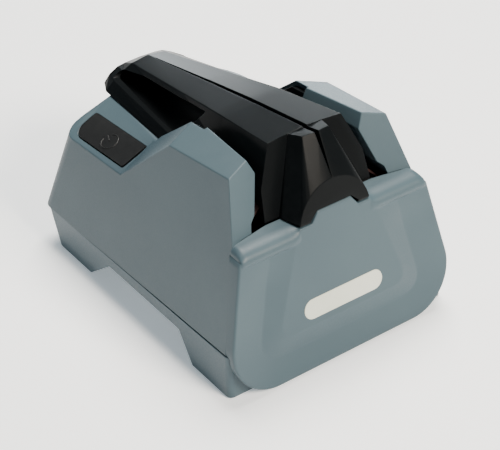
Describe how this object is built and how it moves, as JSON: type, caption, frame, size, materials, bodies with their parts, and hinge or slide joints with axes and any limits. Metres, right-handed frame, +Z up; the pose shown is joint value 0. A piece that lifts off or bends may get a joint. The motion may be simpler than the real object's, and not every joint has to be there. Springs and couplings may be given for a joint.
{
  "type": "electric knife sharpener",
  "caption": "Compact electric knife sharpener with a lift-off guide between two blade slots, an abrasive belt behind a pull-off front cover and a push button on its sloping deck.",
  "frame": {"origin": "middle of the bounding box's footprint, on the table", "axes": "+Z up, -Y towards the front cover, +X towards the deck without the button"},
  "size_m": [0.131, 0.173, 0.1109],
  "materials": {
    "grey_shell": "fine moulded grain, warm blue grey",
    "black_shell": "fine moulded grain, charcoal",
    "cream_plate": "plain cream plate, satin",
    "rubber": "soft dark pads",
    "inner_plastic": "unpolished inner moulding",
    "pulley_plastic": "turned dark nylon",
    "abrasive": "cloth belt coated with fine grit",
    "bronze": "sintered bronze",
    "steel": "plain steel",
    "circuit_board": "green laminate",
    "red_lead": "insulated wire",
    "black_lead": "insulated wire"
  },
  "bodies": {
    "base": {"base_tray": "grey_shell", "upper_housing": "grey_shell", "foot_pad_front_left": "rubber", "foot_pad_front_right": "rubber", "foot_pad_back_left": "rubber", "foot_pad_back_right": "rubber", "belt_chassis": "inner_plastic", "apex_axle": "steel", "tension_pivot": "steel", "motor_can": "steel", "motor_end_cap": "inner_plastic", "push_switch": "inner_plastic", "control_board": "circuit_board", "dc_jack": "inner_plastic", "base_screw_front_left": "steel", "base_screw_front_right": "steel", "base_screw_back_left": "steel", "base_screw_back_right": "steel", "chassis_screw_left": "steel", "chassis_screw_right": "steel", "motor_screw_lower": "steel", "motor_screw_upper": "steel", "board_screw_front": "steel", "board_screw_back": "steel", "jack_lead_red": "red_lead", "jack_lead_black": "black_lead", "motor_lead_red": "red_lead", "motor_lead_black": "black_lead", "abrasive_belt": "abrasive", "tension_spring": "steel", "button_spring": "steel"},
    "cover": {"front_cover": "grey_shell", "badge_plate": "cream_plate"},
    "guide": {"knife_guide": "black_shell"},
    "button": {"power_button": "black_shell", "switch_plunger": "pulley_plastic"},
    "drive": {"drive_pulley": "pulley_plastic", "motor_shaft": "steel"},
    "apex": {"apex_pulley": "pulley_plastic", "apex_bearing": "bronze"},
    "arm": {"tension_arm": "steel", "idler_axle": "steel"},
    "idler": {"idler_pulley": "pulley_plastic", "idler_bearing": "bronze"}
  },
  "joints": [
    {"name": "guide_lift", "type": "slide", "parent": "base", "child": "guide", "axis": [0, 0, 1], "range_m": [0, 0.045]},
    {"name": "cover_pull", "type": "slide", "parent": "base", "child": "cover", "axis": [0, -1, 0], "range_m": [0, 0.045]},
    {"name": "button_press", "type": "slide", "parent": "base", "child": "button", "axis": [0.355, -0.0374, -0.9341], "range_m": [0, 0.0012], "stiffness_N_per_m": 400, "springref_m": -0.001, "deforming": ["button_spring"]},
    {"name": "drive_spin", "type": "hinge", "parent": "base", "child": "drive", "pos_m": [0.0385, -0.04855, 0.0597], "axis": [0, 1, 0], "continuous": true},
    {"name": "apex_spin", "type": "hinge", "parent": "base", "child": "apex", "pos_m": [0, -0.04855, 0.096], "axis": [0, 1, 0], "continuous": true},
    {"name": "tension_swing", "type": "hinge", "parent": "base", "child": "arm", "pos_m": [-0.024, -0.04855, 0.04], "axis": [0, 1, 0], "range_deg": [-4, 4], "stiffness_Nm_per_rad": 0.15, "deforming": ["abrasive_belt", "tension_spring"]},
    {"name": "idler_spin", "type": "hinge", "parent": "arm", "child": "idler", "pos_m": [-0.0385, -0.04855, 0.0597], "axis": [0, 1, 0], "continuous": true}
  ],
  "couplings": [
    {"joint": "apex_spin", "follows": "drive_spin", "ratio": 1},
    {"joint": "idler_spin", "follows": "drive_spin", "ratio": 1}
  ]
}
